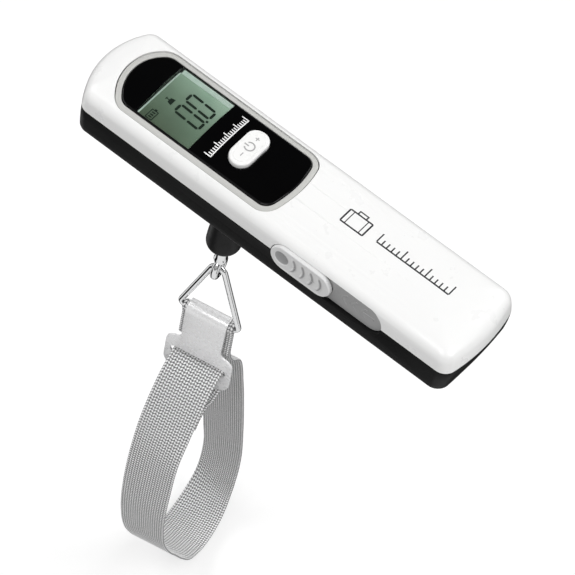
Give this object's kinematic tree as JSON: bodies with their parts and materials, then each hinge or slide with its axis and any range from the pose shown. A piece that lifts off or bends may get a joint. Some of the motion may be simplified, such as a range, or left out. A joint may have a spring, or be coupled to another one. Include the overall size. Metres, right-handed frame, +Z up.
{
  "type": "digital luggage scale",
  "caption": "Bar-shaped digital luggage scale with a display, a push button, a side push slider and a webbing loop hung on a swivel eye.",
  "frame": {"origin": "where the swivel axis of the eye meets the flat underside of the handle", "axes": "+X along the handle from the display end to the tail, +Y across the handle away from the slider, +Z up through the display face"},
  "size_m": [0.1635, 0.077, 0.2789],
  "materials": {
    "white_shell": "moulded gloss white plastic",
    "black_shell": "moulded satin black plastic with a fine spark texture",
    "grey_bezel": "matte light grey plastic",
    "black_lens": "high gloss black printed acrylic",
    "clear_window": "clear glossy acrylic",
    "lcd_glass": "reflective grey-green liquid crystal display",
    "acetal": "natural acetal",
    "rubber": "smooth black rubber",
    "circuit_board": "green solder mask",
    "chip": "black epoxy package",
    "capacitor_sleeve": "blue shrink sleeve",
    "white_button": "moulded satin white plastic",
    "aluminium": "milled",
    "steel": "zinc plated",
    "chrome": "bright chrome plate",
    "plated_sheet": "satin nickel-chrome plated sheet steel",
    "webbing": "grey woven polypropylene webbing",
    "mid_grey_plastic": "moulded mid grey plastic",
    "light_grey_plastic": "moulded light grey plastic",
    "magnet": "sintered ferrite",
    "copper_coil": "enamelled copper winding",
    "cable_jacket": "soft insulated lead"
  },
  "bodies": {
    "handle": {"upper_shell": "white_shell", "lower_shell": "black_shell", "housing_screw_1": "steel", "housing_screw_2": "steel", "housing_screw_3": "steel", "housing_screw_4": "steel", "display_bezel": "grey_bezel", "display_lens": "black_lens", "lcd_window": "clear_window", "lcd_module": "lcd_glass", "lcd_frame": "acetal", "zebra_connector": "rubber", "main_board": "circuit_board", "controller_chip": "chip", "storage_capacitor": "capacitor_sleeve", "button_switch": "steel", "load_cell": "aluminium", "load_cell_base": "steel", "load_cell_screw_1": "steel", "load_cell_screw_2": "steel", "thrust_washer": "steel", "neck_boot": "rubber", "slider_track_plate": "mid_grey_plastic", "spring_rod": "steel", "return_spring": "steel", "generator_base": "mid_grey_plastic", "generator_top": "mid_grey_plastic", "drive_axle": "steel", "step_up_axle": "steel", "stator_core": "steel", "stator_coil": "copper_coil", "generator_cable": "cable_jacket", "load_cell_cable": "cable_jacket"},
    "button": {"mode_button": "white_button"},
    "slider": {"push_slider": "light_grey_plastic", "slider_rack": "acetal"},
    "drive": {"drive_gear": "acetal"},
    "step_up": {"step_up_gear": "acetal"},
    "rotor": {"rotor_pinion": "steel", "magnet_rotor": "magnet"},
    "eye": {"swivel_nut": "steel", "swivel_eye": "chrome"},
    "link": {"triangle_link": "chrome"},
    "strap": {"strap_back_run": "webbing"},
    "hook": {"hook_plate": "plated_sheet", "strap_front_run": "webbing"}
  },
  "joints": [
    {"name": "button_press", "type": "slide", "parent": "handle", "child": "button", "axis": [0, 0, -1], "range_m": [0, 0.001], "stiffness_N_per_m": 400},
    {"name": "slider_push", "type": "slide", "parent": "handle", "child": "slider", "axis": [1, 0, 0], "range_m": [0, 0.02], "stiffness_N_per_m": 60, "deforming": ["return_spring"]},
    {"name": "drive_spin", "type": "hinge", "parent": "handle", "child": "drive", "pos_m": [0.062, -0.007, 0], "axis": [0, 0, 1], "range_deg": [0, 205]},
    {"name": "step_up_spin", "type": "hinge", "parent": "handle", "child": "step_up", "pos_m": [0.07085, -0.00081, 0], "axis": [0, 0, 1], "range_deg": [-533, 0]},
    {"name": "rotor_spin", "type": "hinge", "parent": "handle", "child": "rotor", "pos_m": [0.08069, 0.00093, 0], "axis": [0, 0, 1], "range_deg": [0, 1598]},
    {"name": "eye_swivel", "type": "hinge", "parent": "handle", "child": "eye", "pos_m": [0, 0, 0], "axis": [0, 0, 1], "continuous": true},
    {"name": "link_swing", "type": "hinge", "parent": "eye", "child": "link", "pos_m": [0, 0, -0.0493], "axis": [0.9833, 0.1822, 0], "range_deg": [-50, 50]},
    {"name": "strap_swing", "type": "hinge", "parent": "link", "child": "strap", "pos_m": [0, 0, -0.0804], "axis": [0.9833, 0.1822, 0], "range_deg": [-45, 45]},
    {"name": "hook_lift", "type": "slide", "parent": "strap", "child": "hook", "axis": [0, 0, 1], "range_m": [0, 0.004]}
  ],
  "couplings": [
    {"joint": "drive_spin", "follows": "slider_push", "rad_per_m": 178.57},
    {"joint": "step_up_spin", "follows": "slider_push", "rad_per_m": -464.29},
    {"joint": "rotor_spin", "follows": "slider_push", "rad_per_m": 1392.9}
  ]
}
